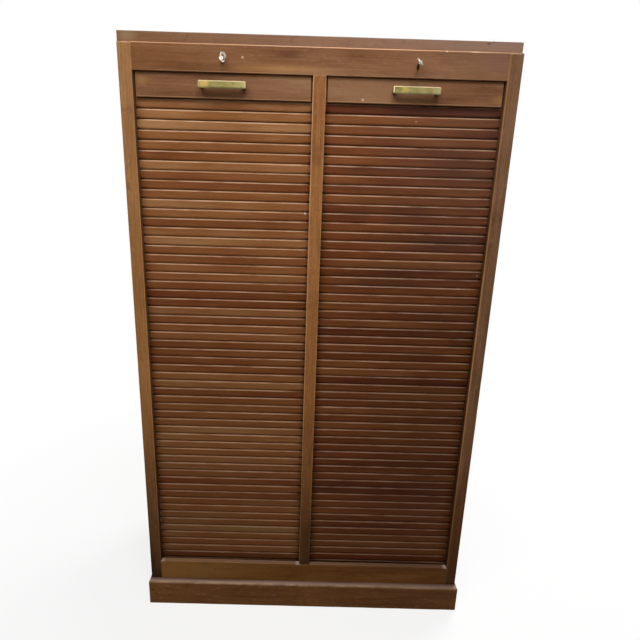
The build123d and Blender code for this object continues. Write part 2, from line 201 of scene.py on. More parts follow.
def wood(name, grain, shades, worn, wear, streak, ribbon=0.5, mottle=0.5, fleck=0.25, dust=0.0,
         rough=0.46, level=0.05, per_piece=False, grime_and_shade=None, marks=()):
    """Wood under an old finish: ribbons and fibre along the grain, open pores, worn arrises, dust.

    grain is the axis that the grain follows, and shades run from dark to light. worn is the shade of
    rubbed wood and wear how much of it shows on arrises. streak, ribbon and mottle say how strongly
    fibre, ribbons and clouds show. per_piece takes each slat's board, tone and redness from its
    faces. grime gives the height below which the wood darkens towards the floor, partly from dirt and
    partly as painted shade, and how much.
    """
    material, tree, shader = blank(name)
    home = add(tree, "ShaderNodeTexCoord").outputs["Object"]
    place = home
    if per_piece:
        lot = add(tree, "ShaderNodeAttribute", attribute_name="lot").outputs["Vector"]
        jump = add(tree, "ShaderNodeVectorMath", {0: lot, 1: BOARD_JUMP}, operation="MULTIPLY").outputs[0]
        place = add(tree, "ShaderNodeVectorMath", {0: home, 1: jump}, operation="ADD").outputs[0]

    def drawn(longer, per_metre, detail, roughness, twist):
        size = [1.0, 1.0, 1.0]
        size[grain] = 1 / longer
        laid = add(tree, "ShaderNodeMapping", {"Vector": place, "Scale": size}).outputs[0]
        return add(tree, "ShaderNodeTexNoise", {"Vector": laid, "Scale": per_metre, "Detail": detail,
                   "Roughness": roughness, "Distortion": twist}).outputs[0]

    # The stained wood itself, from dark to light
    ribbons, fibre, clouds = drawn(*RIBBONS), drawn(*FIBRE), drawn(*CLOUDS)
    value = 0.5
    for pattern, share in ((ribbons, ribbon), (fibre, streak), (clouds, mottle)):
        part = add(tree, "ShaderNodeMath", {0: pattern, 1: 0.5}, operation="SUBTRACT").outputs[0]
        summed = {0: part, 1: share, 2: value}
        value = add(tree, "ShaderNodeMath", summed, operation="MULTIPLY_ADD").outputs[0]
    if per_piece:
        tone = add(tree, "ShaderNodeAttribute", attribute_name="tone").outputs["Fac"]
        value = add(tree, "ShaderNodeMath", {0: value, 1: tone}, operation="ADD").outputs[0]
    steps = len(shades) - 1
    stops = [(0.15 + 0.7 * i / steps, colour(shade)) for i, shade in enumerate(shades)]
    base = add(tree, "ShaderNodeValToRGB", {0: value}, stops=stops).outputs[0]

    # Redder heartwood in some slats, and dirt sunk in the pores
    layers = []
    if per_piece:
        blush = add(tree, "ShaderNodeAttribute", attribute_name="blush").outputs["Fac"]
        layers.append((blush, RED_HEART))
    stops = [(0.30, WHITE), (0.42, BLACK)]
    pores = add(tree, "ShaderNodeValToRGB", {0: drawn(*PORES)}, stops=stops).outputs[0]
    sunk = add(tree, "ShaderNodeMath", {0: pores, 1: PORE_SHARE}, operation="MULTIPLY").outputs[0]
    layers.append((sunk, PORE_DIRT))

    # Arrises rubbed bare in patches. On slats only the upward-facing bevels get it, more of it higher up,
    # as wear and painted highlight together
    facing = add(tree, "ShaderNodeNewGeometry").outputs["True Normal"]
    covers = [add(tree, "ShaderNodeMapRange", {0: drawn(*RUBS), 1: 0.3, 2: 0.6, 3: 0.25, 4: 1.0})]
    if per_piece:
        height = add(tree, "ShaderNodeSeparateXYZ", {0: home}).outputs[2]
        covers.append(add(tree, "ShaderNodeMapRange", {0: height, 1: 0.2, 2: 1.3, 3: 0.5, 4: 1.0}))
        upward = add(tree, "ShaderNodeSeparateXYZ", {0: facing}).outputs[2]
        covers.append(add(tree, "ShaderNodeMapRange", {0: upward, 1: 0.1, 2: 0.3, 3: 0.0, 4: 1.0}))
    arris = arris_share(tree, facing, wear)
    for cover in covers:
        both = {0: arris, 1: cover.outputs[0]}
        arris = add(tree, "ShaderNodeMath", both, operation="MULTIPLY").outputs[0]
    layers.append((arris, worn))

    # Pale flecks and dark scuffs
    span = {0: drawn(*FLECKS), 1: 0.56, 2: 0.80, 3: 0.0, 4: fleck}
    layers.append((add(tree, "ShaderNodeMapRange", span).outputs[0], worn))
    span = {0: drawn(*SCUFFS), 1: 0.46, 2: 0.36, 3: 0.0, 4: 1.6 * fleck}
    layers.append((add(tree, "ShaderNodeMapRange", span).outputs[0], shades[0]))

    # Dust on what faces up, then the single marks, then grime and painted shade darkening the wood
    # towards the floor
    if dust:
        upward = add(tree, "ShaderNodeSeparateXYZ", {0: facing}).outputs[2]
        lying = add(tree, "ShaderNodeMapRange", {0: upward, 1: 0.6, 2: 0.95, 3: 0.0, 4: dust}).outputs[0]
        grit = add(tree, "ShaderNodeMapRange", {0: drawn(*GRIT), 1: 0.35, 2: 0.65, 3: 0.6, 4: 1.0})
        both = {0: lying, 1: grit.outputs[0]}
        layers.append((add(tree, "ShaderNodeMath", both, operation="MULTIPLY").outputs[0], DUST))
    layers += mark_layers(tree, home, ribbons, marks)
    if grime_and_shade:
        height = add(tree, "ShaderNodeSeparateXYZ", {0: home}).outputs[2]
        span = {0: height, 1: grime_and_shade[0], 2: GRIME_AND_SHADE_FOOT, 3: 0.0, 4: grime_and_shade[1]}
        grimed_and_shaded = add(tree, "ShaderNodeMapRange", span).outputs[0]
        cloud = add(tree, "ShaderNodeMapRange", {0: clouds, 1: 0.3, 2: 0.7, 3: 0.6, 4: 1.2}).outputs[0]
        grimed_and_shaded = add(tree, "ShaderNodeMath", {0: grimed_and_shaded, 1: cloud}, operation="MULTIPLY").outputs[0]
        layers.append((grimed_and_shaded, FLOOR_GRIME_AND_SHADE))
    tree.links.new(laid_on(tree, base, layers), shader.inputs["Base Color"])

    # The wax or varnish, duller in clouds, over fibre and open pores
    span = {0: clouds, 1: 0.3, 2: 0.7, 3: rough - 0.05, 4: rough + 0.07}
    tree.links.new(add(tree, "ShaderNodeMapRange", span).outputs[0], shader.inputs["Roughness"])
    shader.inputs["Specular IOR Level"].default_value = level
    relief = {0: pores, 1: -0.6, 2: fibre}
    relief = add(tree, "ShaderNodeMath", relief, operation="MULTIPLY_ADD").outputs[0]
    bump = add(tree, "ShaderNodeBump", {"Height": relief, "Strength": 0.5, "Distance": PORE_DEPTH})
    tree.links.new(bump.outputs[0], shader.inputs["Normal"])
    return material


TARNISH = 90  # patches of tarnish to a metre, 11 mm each
SCRATCHES = 1600  # brush marks and scratches to a metre, 0.6 mm apart
BRUSHED = 1 / 40  # how much slower they change along the brushing
SCRATCH_ROUGH = 0.1
SCRATCH_DEPTH = 0.03 * MM


def metal(name, base, tarnish, rough, grain=None, specks=0.3, polished=None, marks=()):
    """A plated or solid metal: tarnish in soft patches, rubbing marks, and arrises kept bright.

    grain is the axis that it was brushed along, specks how much tarnish shows, and polished the
    shade of its bright arrises, dimmed where they face down as painted shade.
    """
    material, tree, shader = blank(name)
    place = add(tree, "ShaderNodeTexCoord").outputs["Object"]
    soft = {"Vector": place, "Scale": TARNISH, "Detail": 4, "Roughness": 0.6}
    patches = add(tree, "ShaderNodeTexNoise", soft).outputs[0]
    size = [1.0, 1.0, 1.0]
    if grain is not None:
        size[grain] = BRUSHED
    rubbed = add(tree, "ShaderNodeMapping", {"Vector": place, "Scale": size}).outputs[0]
    fine = {"Vector": rubbed, "Scale": SCRATCHES, "Detail": 3, "Roughness": 0.6}
    scratches = add(tree, "ShaderNodeTexNoise", fine).outputs[0]
    worn = add(tree, "ShaderNodeMapRange", {0: patches, 1: 0.38, 2: 0.7, 3: 0.0, 4: specks}).outputs[0]
    layers = [(worn, tarnish)] + mark_layers(tree, place, patches, marks)
    if polished:
        facing = add(tree, "ShaderNodeNewGeometry").outputs["True Normal"]
        upward = add(tree, "ShaderNodeSeparateXYZ", {0: facing}).outputs[2]
        # polished arrises that face down are kept dim, as painted shade in place of the floor they
        # reflect
        unshaded_above = add(tree, "ShaderNodeMapRange", {0: upward, 1: -0.5, 2: -0.1, 3: 0.1, 4: 0.9})
        both = {0: arris_share(tree, facing, 1.0), 1: unshaded_above.outputs[0]}
        layers.append((add(tree, "ShaderNodeMath", both, operation="MULTIPLY").outputs[0], polished))
    tree.links.new(laid_on(tree, colour(base), layers), shader.inputs["Base Color"])
    dull = {0: scratches, 1: SCRATCH_ROUGH, 2: rough - SCRATCH_ROUGH / 2}
    dull = add(tree, "ShaderNodeMath", dull, operation="MULTIPLY_ADD").outputs[0]
    dull = add(tree, "ShaderNodeMath", {0: worn, 1: 0.25, 2: dull}, operation="MULTIPLY_ADD").outputs[0]
    tree.links.new(dull, shader.inputs["Roughness"])
    shader.inputs["Metallic"].default_value = 1.0
    relief = {"Height": scratches, "Strength": 0.25, "Distance": SCRATCH_DEPTH}
    tree.links.new(add(tree, "ShaderNodeBump", relief).outputs[0], shader.inputs["Normal"])
    return material


THREAD_SPACING = 1 * MM
THREAD_DEPTH = 0.3 * MM
SLUBS = 120  # slubs to a metre, 8 mm each


def linen(name, warp, weft):
    """Linen canvas: threads over and under each other, with slubs."""
    material, tree, shader = blank(name)
    place = add(tree, "ShaderNodeTexCoord").outputs["Object"]
    split = add(tree, "ShaderNodeSeparateXYZ", {0: place}).outputs
    turn = 2 * math.pi / (2 * THREAD_SPACING)
    waves = []
    for axis in (ALONG_X, ALONG_Z):
        angle = add(tree, "ShaderNodeMath", {0: split[axis], 1: turn}, operation="MULTIPLY").outputs[0]
        waves.append(add(tree, "ShaderNodeMath", {0: angle}, operation="SINE").outputs[0])
    weave = add(tree, "ShaderNodeMath", {0: waves[0], 1: waves[1]}, operation="MULTIPLY").outputs[0]
    over = add(tree, "ShaderNodeMapRange", {0: weave, 1: -0.5, 2: 0.5}).outputs[0]
    slub = add(tree, "ShaderNodeTexNoise", {"Vector": place, "Scale": SLUBS, "Detail": 4}).outputs[0]
    over = add(tree, "ShaderNodeMath", {0: over, 1: slub}, operation="MULTIPLY").outputs[0]
    tree.links.new(laid_on(tree, colour(warp), [(over, weft)]), shader.inputs["Base Color"])
    shader.inputs["Roughness"].default_value = 0.9
    shader.inputs["Specular IOR Level"].default_value = 0.15
    bump = add(tree, "ShaderNodeBump", {"Height": over, "Strength": 0.6, "Distance": THREAD_DEPTH})
    tree.links.new(bump.outputs[0], shader.inputs["Normal"])
    return material


# ---- Woods that show

# painted shade for the stiles' inner faces beside the curtains
CORNER_SHADE = "#2E1B0C"
RUBBED_LINE = "#E0B28A"
PLINTH_SHADES = ("#4A2C14", "#6E4927", "#835D36")
PLINTH_WORN = "#B09478"

# Mahogany, planed, stained and waxed: satin faces with straight grain, golden where hands pass, pale
# on the rubbed arrises, with painted shade on the inner faces beside the curtains, and darker towards
# the floor from dirt and painted shade.
left_stile_wood = wood(
    "waxed mahogany, left stile", ALONG_Z, ("#5D3C21", "#845D38", "#9D754B"), "#C09A6C", wear=0.6,
    streak=0.85, mottle=0.8, grime_and_shade=(0.62, 0.95), marks=(
        ((-0.42, 0.012, 0.8), (0.002, 0.014, 1.6), CORNER_SHADE, 0.75),  # painted shade on the inner face by the curtain
        ((-0.4206, 0.0, 0.8), (0.0022, 0.004, 1.0), "#C99C68", 0.5),  # and its rubbed arris
        ((-0.435, 0.0, 1.45), (0.1, 0.1, 0.4), "#A98A60", 0.2),  # paler at the top
        ((-0.435, 0.0, 0.80), (0.1, 0.1, 0.55), "#A67843", 0.4),  # golden in the middle
        ((-0.435, 0.0, 1.505), (0.1, 0.05, 0.004), RUBBED_LINE, 0.9),
    ))
centre_stile_wood = wood(
    "waxed mahogany, centre stile", ALONG_Z, ("#5F3B1F", "#885B35", "#9F7345"), "#C79C68", wear=0.7,
    streak=0.9, ribbon=0.6, mottle=0.8, grime_and_shade=(0.66, 1.0), marks=(
        # painted shade on both inner faces beside the curtains
        ((0.0, 0.013, 0.8), (0.05, 0.013, 1.6), CORNER_SHADE, 0.6),
        ((-0.0146, 0.0, 0.9), (0.0024, 0.004, 1.2), "#D6AE7C", 0.8),  # rubbed left arris
        ((0.0146, 0.0, 0.9), (0.0022, 0.004, 1.2), "#C99C68", 0.5),  # and right arris
        ((0.0, 0.0, 0.86), (0.1, 0.1, 0.5), "#A37240", 0.35),
        ((0.0, 0.0, 0.245), (0.02, 0.05, 0.09), "#2B170B", 0.6),  # dirty foot
    ))
right_stile_wood = wood(
    "waxed mahogany, right stile", ALONG_Z, ("#4A311F", "#6B4D35", "#82634B"), "#A98D70", wear=0.6,
    streak=0.85, mottle=0.7, grime_and_shade=(0.5, 0.7), marks=(
        ((0.435, 0.0, 0.2), (0.1, 0.1, 0.55), "#59310C", 0.8),  # warmer towards the foot
        # painted shade on the inner face beside the curtain
        ((0.42, 0.012, 0.8), (0.002, 0.014, 1.6), CORNER_SHADE, 0.7),
        ((0.4215, 0.0, 0.7), (0.003, 0.004, 1.2), "#B08350", 0.7),
        ((0.435, 0.0, 1.505), (0.1, 0.05, 0.004), RUBBED_LINE, 0.8),
    ))

# The same wood with its grain across: more worn, because the cabinet is opened here, with stains by
# the locks and bare light chips on the arrises.
rail_wood = wood(
    "waxed mahogany, top rail", ALONG_X, ("#4F301D", "#755135", "#8B6C51"), "#D8AC88", wear=0.95,
    streak=0.5, mottle=0.8, fleck=0.12, marks=(
        ((-0.070, 0.0, 1.4883), (0.045, 0.05, 0.012), "#43211A", 0.7),  # stains
        ((0.078, 0.0, 1.4873), (0.05, 0.05, 0.010), "#513019", 0.5),
        ((-0.07, 0.0, 1.458), (0.16, 0.05, 0.012), "#A97F4C", 0.6),  # light patch
        ((-0.42, 0.0, 1.475), (0.42, 0.05, 0.09), "#68431D", 0.5),  # warmer to the left
        ((0.36, 0.0, 1.475), (0.25, 0.05, 0.08), "#8A6E58", 0.4),  # greyer to the right
        ((0.40, 0.0, 1.488), (0.045, 0.05, 0.03), "#6E4F45", 0.6),
        ((-0.1725, 0.0, 1.4793), (0.004, 0.05, 0.0035), "#D2A684", 1.0),  # chip
        ((0.0, 0.0, 1.4482), (0.8, 0.03, 0.0022), "#B28C68", 0.75),  # rubbed lower arris, with painted light on the shaded underside behind it
        ((0.0, 0.0, 1.5045), (0.9, 0.05, 0.0025), RUBBED_LINE, 0.6),
        ((0.2784, 0.0, 1.5046), (0.004, 0.05, 0.003), "#F4DCC4", 1.0),  # bare places on it
        ((0.3425, 0.0, 1.5047), (0.012, 0.05, 0.0022), "#EFCFB2", 0.9),
    ))
bar_wood = wood(
    "waxed mahogany, lead bars", ALONG_X, ("#543520", "#755238", "#8B6C4F"), "#B08C66", wear=0.6,
    streak=0.5, mottle=0.8, fleck=0.12, marks=(
        ((0.12, 0.0, 1.42), (0.16, 0.05, 0.06), "#8E6E50", 0.5),
        ((0.0, 0.0, 1.396), (0.9, 0.05, 0.002), "#AE8A62", 0.6),  # lower arris
        ((0.0995, 0.0, 1.401), (0.004, 0.05, 0.0035), "#E0BE9C", 0.9),  # chip
        ((-0.400, 0.0, 1.429), (0.022, 0.05, 0.016), "#A47E48", 0.5),  # rubbed ends
        ((0.418, 0.0, 1.409), (0.035, 0.05, 0.014), "#A07E4C", 0.5),
    ))

# The same wood near the floor: duller, with pale dust on every ledge and darker below.
sill_wood = wood(
    "waxed mahogany, bottom rail", ALONG_X, ("#4A2B10", "#6E4820", "#835D33"), "#8A6A4C", wear=0.5,
    streak=0.4, dust=0.36, marks=(
        ((-0.36, 0.0, 0.10), (0.3, 0.1, 0.1), "#946F40", 0.45),
        ((0.40, 0.0, 0.12), (0.5, 0.1, 0.12), "#40240E", 0.6),
        ((-0.417, 0.008, 0.137), (0.010, 0.05, 0.004), "#B4ADA3", 0.7),  # dust in the corners
        ((-0.018, 0.008, 0.137), (0.010, 0.05, 0.004), "#BDB6AC", 0.7),
        ((0.416, 0.010, 0.137), (0.012, 0.05, 0.004), "#BDB6AC", 0.75),
    ))
plinth_wood = wood(
    "waxed mahogany, plinth", ALONG_X, PLINTH_SHADES, PLINTH_WORN, wear=0.85, streak=0.35, dust=0.8,
    marks=(
        ((0.0, 0.0, 0.078), (0.9, 0.008, 0.01), "#3A2214", 0.95),  # darker strip where the frame stands on the plinth
        ((0.45, 0.0, 0.04), (0.5, 0.1, 0.1), "#3E2410", 0.55),
        ((-0.4444, -0.015, 0.0471), (0.006, 0.02, 0.006), "#0A0502", 1.0),  # nail hole
    ))
plinth_end_wood = wood("waxed mahogany, plinth ends", ALONG_Y, PLINTH_SHADES, PLINTH_WORN, wear=0.85,
                       streak=0.35, dust=0.75)

# The same wood on top and at the sides: the top greyed by light and dust, with dents in its front
# arris, and the sides broader in their ribbons.
top_wood = wood(
    "waxed mahogany, top", ALONG_X, ("#533828", "#77553C", "#8F7056"), "#8A7664", wear=0.85,
    streak=0.45, dust=0.25, marks=(
        ((-0.42, 0.0, 1.52), (0.4, 0.3, 0.1), "#5C4020", 0.5),  # warmer to the left
        ((0.42, 0.0, 1.52), (0.8, 0.3, 0.1), "#917A6C", 0.55),  # greyer to the right
        ((0.0, 0.010, 1.5285), (0.9, 0.02, 0.003), "#86766A", 0.8),
        ((-0.43, 0.010, 1.518), (0.03, 0.02, 0.02), "#A08C6C", 0.4),
        ((0.3724, 0.010, 1.5237), (0.006, 0.02, 0.003), "#3E2A20", 0.8),  # dents
        ((0.383, 0.010, 1.5284), (0.004, 0.02, 0.003), "#3A2A22", 0.9),
    ))
side_wood = wood("waxed mahogany, sides", ALONG_Z, ("#4A2A15", "#6C4525", "#825D37"), "#9A7350",
                 wear=0.5, streak=0.45, ribbon=0.8, grime_and_shade=(0.35, 0.4))

# The same wood, moulded into slats from many boards, so each has its own tone and redness. The pale
# lines on their upper bevels are partly wax worn off and partly painted highlight, and the curtains
# grow darker downwards from dirt and painted shade.
slat_wood = wood(
    "waxed mahogany, slats", ALONG_X, ("#401F12", "#693B1E", "#80532F", "#99724B"), "#D2B193",
    wear=0.54, streak=0.3, ribbon=0.25, mottle=0.55, fleck=0.0, per_piece=True, grime_and_shade=(1.25, 0.44),
    marks=(
        ((0.0, 0.022, 0.1285), (0.9, 0.03, 0.0115), "#050201", 1.0),  # painted shade, near black, in the gap at the foot
        ((-0.426, 0.0, 0.75), (0.006, 0.05, 0.6), "#A08C78", 0.5),  # dusty left ends
        ((0.36, 0.0, 0.60), (0.42, 0.1, 0.8), "#2A1406", 0.50),  # darker right curtain
        ((0.38, 0.0, 1.30), (0.36, 0.1, 0.5), "#443633", 0.42),
        ((-0.424, 0.0, 0.27), (0.009, 0.05, 0.09), "#C9BCAB", 0.7),
        ((0.2175, 0.0, 1.384), (0.26, 0.1, 0.016), "#35201E", 0.75),  # painted shadow of the lead bar on the first slats
        ((0.4117, 0.0, 1.0031), (0.003, 0.06, 0.0025), "#DAD2C6", 0.9),  # specks
        ((0.227, 0.0, 1.3594), (0.0035, 0.06, 0.003), "#B98F70", 0.9),
        ((-0.0247, 0.0, 1.144), (0.004, 0.06, 0.0035), "#F2EAE0", 1.0),
    ))

# ---- Woods and cloth inside, and metals

# Beech, planed and varnished clear: pale and even, with a light shine.
beech, beech_upright = (
    wood(name, grain, ("#9A7149", "#B98F62", "#CDA878"), "#D8B88C", wear=0.3, streak=0.35,
         mottle=0.25, fleck=0.06, level=0.3)
    for name, grain in (("varnished beech", ALONG_X), ("varnished beech, upright", ALONG_Z))
)
# Birch plywood, sanded and bare: dry and matt, in broad pale ribbons.
plywood = wood("birch plywood", ALONG_Z, ("#8A6A45", "#A98659", "#BC9A6C"), "#C4A67C", wear=0.2,
               streak=0.3, ribbon=0.8, fleck=0.0, rough=0.62, level=0.2)
# Linen, plain woven and sized with glue: dull, with a weave that shows.
canvas_cloth = linen("linen canvas", "#8B7A5C", "#B3A27F")
# Brass bar, brushed satin and tarnished to olive, with arrises rubbed bright by fingers, and patches of
# painted reflection, yellow, olive and grey, along each handle.
brass = metal("satin brass", "#6F6740", "#57502A", 0.36, ALONG_X, specks=0.7, polished="#EADDB0",
              # painted reflections along the handles
              marks=(((-0.257, 0.0, 1.42), (0.018, 0.05, 0.03), "#A28C4A", 0.85),
                     ((-0.226, 0.0, 1.42), (0.018, 0.05, 0.03), "#5F5A36", 0.5),
                     ((-0.176, 0.0, 1.42), (0.02, 0.05, 0.03), "#878056", 0.7),
                     ((0.190, 0.0, 1.42), (0.014, 0.05, 0.03), "#968449", 0.8),
                     ((0.232, 0.0, 1.42), (0.022, 0.05, 0.03), "#7F7350", 0.6),
                     ((0.266, 0.0, 1.42), (0.016, 0.05, 0.03), "#8D8760", 0.8)))
# Nickel plate on cast keys, brown where the plate has gone. The left key's bow carries painted
# highlights, warm white, and painted shade, brown, on its lower right; the right key is a copy made
# darker all over as painted shade.
nickel = {
    "left": metal("worn nickel plate", "#D2C9BB", "#8A8172", 0.34, specks=0.45,
                  # painted highlights on the left key's bow, and painted shade on its lower right
                  marks=(((-0.2195, -0.02, 1.4740), (0.006, 0.03, 0.010), "#FFF8EC", 1.0),
                         ((-0.2185, -0.026, 1.4805), (0.0055, 0.03, 0.008), "#FFF8EC", 1.0),
                         ((-0.2140, -0.015, 1.4655), (0.005, 0.03, 0.006), "#FFF8EC", 1.0),
                         ((-0.2065, -0.018, 1.4690), (0.007, 0.03, 0.008), "#6B4A33", 1.0))),
    "right": metal("worn nickel plate, shaded darker", "#A9A398", "#4E483F", 0.36, specks=0.9),
}
# Mild steel, pressed or turned and left bare: grey with a soft shine and brown patches.
pressed_steel = metal("pressed steel", "#8D8A84", "#6A5F52", 0.42, ALONG_X, specks=0.5)
screw_metal = metal("screw steel", "#9A958C", "#5F564B", 0.4, specks=0.4)
# Rolled brass sheet: yellow, because nothing has touched it but the bolt.
brass_plate = metal("brass plate", "#C2A556", "#8C7A38", 0.4, ALONG_X)

# ---- Helpers for new pieces

DENT = 0.25 * MM
KNOCKS = 38  # knocks to a metre of an arris
KNOCK_FLOOR = 0.05
CUT_SPACING = 0.035
SQUARE_FACE = 0.9999


def keep(mesh, name, body, material, replaces=(), eased=False):
    """A finished bmesh as a piece of the scene that rides on a body.

    An eased piece keeps its faces flat, and its narrow arrises turn smoothly between them.
    """
    data = bpy.data.meshes.new(name)
    mesh.to_mesh(data)
    mesh.free()
    data.materials.append(material)
    piece = bpy.data.objects.new(name, data)
    bpy.context.scene.collection.objects.link(piece)
    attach(piece, body)
    if replaces:
        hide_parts(*replaces)
    if eased:
        data.shade_smooth()
        piece.modifiers.new("even normals", "WEIGHTED_NORMAL").keep_sharp = False
    return piece


def soft_board(low, high, arris, seed, heavy=(), heavy_size=0.0):
    """A board between two corners, its arrises rounded over and a little knocked about.

    heavy names edges by the two faces that meet there, such as "-y +z", which get a larger round.
    """
    low, high = Vector(low), Vector(high)
    size = high - low
    mesh = bmesh.new()
    bmesh.ops.create_cube(mesh, size=1)
    bmesh.ops.scale(mesh, vec=size, verts=mesh.verts)
    bmesh.ops.translate(mesh, vec=(low + high) / 2, verts=mesh.verts)
    mesh.normal_update()

    def faces_of(edge):
        names = []
        for face in edge.link_faces:
            axis = max(range(3), key=lambda n: abs(face.normal[n]))
            names.append(("-" if face.normal[axis] < 0 else "+") + "xyz"[axis])
        return set(names)

    larger = [edge for edge in mesh.edges if any(faces_of(edge) == set(pair.split()) for pair in heavy)]
    if larger:
        bmesh.ops.bevel(mesh, geom=larger, offset=heavy_size, segments=4, profile=0.5,
                        affect="EDGES", material=-1)
    mesh.normal_update()
    square = [edge for edge in mesh.edges if len(edge.link_faces) == 2 and all(
              max(abs(part) for part in face.normal) > SQUARE_FACE for face in edge.link_faces)]
    bmesh.ops.bevel(mesh, geom=square, offset=arris, segments=2, profile=0.5, affect="EDGES",
                    material=-1)

    # Cuts across the board give its arrises points that a knock pushes in
    longest = max(range(3), key=lambda axis: size[axis])
    normal = Vector([float(axis == longest) for axis in range(3)])
    count = int(size[longest] / CUT_SPACING)
    for n in range(1, count):
        middle = low + normal * (size[longest] * n / count)
        geometry = mesh.verts[:] + mesh.edges[:] + mesh.faces[:]
        bmesh.ops.bisect_plane(mesh, geom=geometry, plane_co=middle, plane_no=normal)
    reach = max(arris, heavy_size) * 1.01
    for vert in mesh.verts:
        pull = Vector()
        for axis in range(3):
            if axis == longest:
                continue
            if vert.co[axis] - low[axis] < reach:
                pull[axis] = 1
            elif high[axis] - vert.co[axis] < reach:
                pull[axis] = -1
        if pull.length > 1.1:
            spot = vert.co * KNOCKS + Vector((seed, seed * 2.3, 0))
            knock = max(0.0, noise.noise(spot) - KNOCK_FLOOR)
            vert.co += pull * DENT * knock * 2
    return mesh


# ---- Frame boards, top and plinth

TOP_FRONT = ("-y +z",)
TOP_REACH = 2.6 * MM  # how much further to the left the top board reaches in the photograph
RAIL_ROOM = 3.5 * MM  # taken off the bottom rail's back, for the curtains
PANEL_SUNK = 0.4 * MM
# Node, wood, slot, arris in mm, seed of its knocks, heavier edges and their round in mm
BOARDS = (
    ("left_stile", left_stile_wood, "stile_wood", 0.9, 1.3, TOP_FRONT, 1.8),
    ("right_stile", right_stile_wood, "stile_wood", 0.9, 2.9, TOP_FRONT, 1.8),
    ("centre_stile", centre_stile_wood, "stile_wood", 1.0, 4.1, (), 0.0),
    ("bottom_rail", sill_wood, "rail_wood", 0.9, 5.7, (), 0.0),
    ("top_board", top_wood, "carcass_wood", 1.2, 6.4, (), 0.0),
    ("plinth_front", plinth_wood, "rail_wood", 1.2, 8.8, ("-y +z", "-x +z", "+x +z"), 6.0),
    ("plinth_left", plinth_end_wood, "carcass_wood", 0.8, 9.1, ("-x +z",), 4.0),
    ("plinth_right", plinth_end_wood, "carcass_wood", 0.8, 9.9, ("+x +z",), 4.0),
    ("plinth_back", plinth_wood, "carcass_wood", 0.8, 7.2, (), 0.0),
    ("left_back_panel", plywood, "back_plywood", 0.4, 3.3, (), 0.0),
    ("right_back_panel", plywood, "back_plywood", 0.4, 5.1, (), 0.0),
)
for node_name, material, slot_name, arris_mm, seed, heavy, heavy_mm in BOARDS:
    low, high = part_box(node_name)
    if node_name == "top_board":
        low.x -= TOP_REACH
    if node_name == "bottom_rail":
        high.y -= RAIL_ROOM
    if "back_panel" in node_name:
        high.y -= PANEL_SUNK
    board = soft_board(low, high, arris_mm * MM, seed, heavy, heavy_mm * MM)
    keep(board, node_name + "_board", "cabinet", material, replaces=(node_name,), eased=True)

# ---- Pieces that keep their CAD mesh

finishes = {
    "top_rail": rail_wood,
    "left_side": side_wood,
    "right_side": side_wood,
    "centre_partition": beech_upright,
    "bottom_board": beech,
    "plinth_blocks": beech_upright,
    "left_inner_back": plywood,
    "right_inner_back": plywood,
    "lock_screws": screw_metal,
}
for side in ("left", "right"):
    for part, material in (
        ("floor", beech),
        ("cleats", beech),
        ("shelf_1", beech),
        ("shelf_2", beech),
        ("shelf_3", beech),
        ("lead_bar", bar_wood),
        ("strike_plate", brass_plate),
        ("handle", brass),
        ("handle_screws", screw_metal),
        ("lock_case", pressed_steel),
        ("lock_bolt", pressed_steel),
        ("key", nickel[side]),
    ):
        finishes[f"{side}_{part}"] = material
for node_name, material in finishes.items():
    nodes[node_name].data.materials.clear()
    nodes[node_name].data.materials.append(material)

# ---- Pins of the back panels

PIN_RADIUS = 2.2 * MM
PIN_FLAT = 0.72  # the flat of a head, as a share of its radius
PIN_HEIGHT = 0.5 * MM
PIN_INSET = 9 * MM
PIN_SPACING = 105 * MM
PIN_SLIP_ACROSS = 1.5  # how far a pin misses its place, in mm
PIN_SLIP_UP = 4


def panel_pins(panel, seed):
    """Flat-headed pins round the edge of a back panel, driven by hand, so a little uneven."""
    low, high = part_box(panel)
    draw = random.Random(seed)
    left, right = low.x + PIN_INSET, high.x - PIN_INSET
    foot, head = low.z + PIN_INSET, high.z - PIN_INSET
    across, up = round((right - left) / PIN_SPACING), round((head - foot) / PIN_SPACING)
    places = [(left + (right - left) * n / across, z) for n in range(across + 1) for z in (foot, head)]
    places += [(x, foot + (head - foot) * n / up) for n in range(1, up) for x in (left, right)]
    mesh = bmesh.new()
    outward = Matrix.Rotation(math.radians(-90), 4, "X")
    for x, z in places:
        x += draw.uniform(-PIN_SLIP_ACROSS, PIN_SLIP_ACROSS) * MM
        z += draw.uniform(-PIN_SLIP_UP, PIN_SLIP_UP) * MM
        made = bmesh.ops.create_cone(mesh, cap_ends=True, segments=14, radius1=PIN_RADIUS,
                                     radius2=PIN_FLAT * PIN_RADIUS, depth=PIN_HEIGHT)["verts"]
        place = Matrix.Translation((x, high.y - PANEL_SUNK, z)) @ outward
        bmesh.ops.transform(mesh, matrix=place, verts=made)
    keep(mesh, panel + "_pins", "cabinet", screw_metal)


panel_pins("left_back_panel", 5)
panel_pins("right_back_panel", 8)

# ---- Curtains: the slats' section, the track, and how slats hang and differ

SLATS = 59
SLAT_PITCH = 22.4 * MM
SLAT_HEIGHT = 20.4 * MM
FACE_DEPTH = 6.5 * MM  # from a slat's middle line to its face
BEVEL_HEIGHT = 2.7 * MM
BEVEL_DEPTH = 2.0 * MM
UNDER_HEIGHT = 3.4 * MM
UNDER_DEPTH = 1.3 * MM
SLAT_ROUND = 0.55 * MM
SLAT_CUTS = 12  # parts along a slat, so that it can sag
TONGUE_DEPTH = 2.5 * MM  # half a tongue's thickness, and from the middle line to the slat's back
TONGUE_LENGTH = 6 * MM
TONGUE_ROOT = 1 * MM
TONGUE_HEIGHT = SLAT_HEIGHT - 4 * MM

TRACK_RADIUS = 28 * MM
TRACK_Y = FACE + 29 * MM
TRACK_TILT = 5 * MM  # how much further forward the track is at the lead bar than at the turn
TRACK_TURN = 125.5 * MM
TRACK_END = 13 * MM
LEAD_BAR_FOOT = 1394.5 * MM

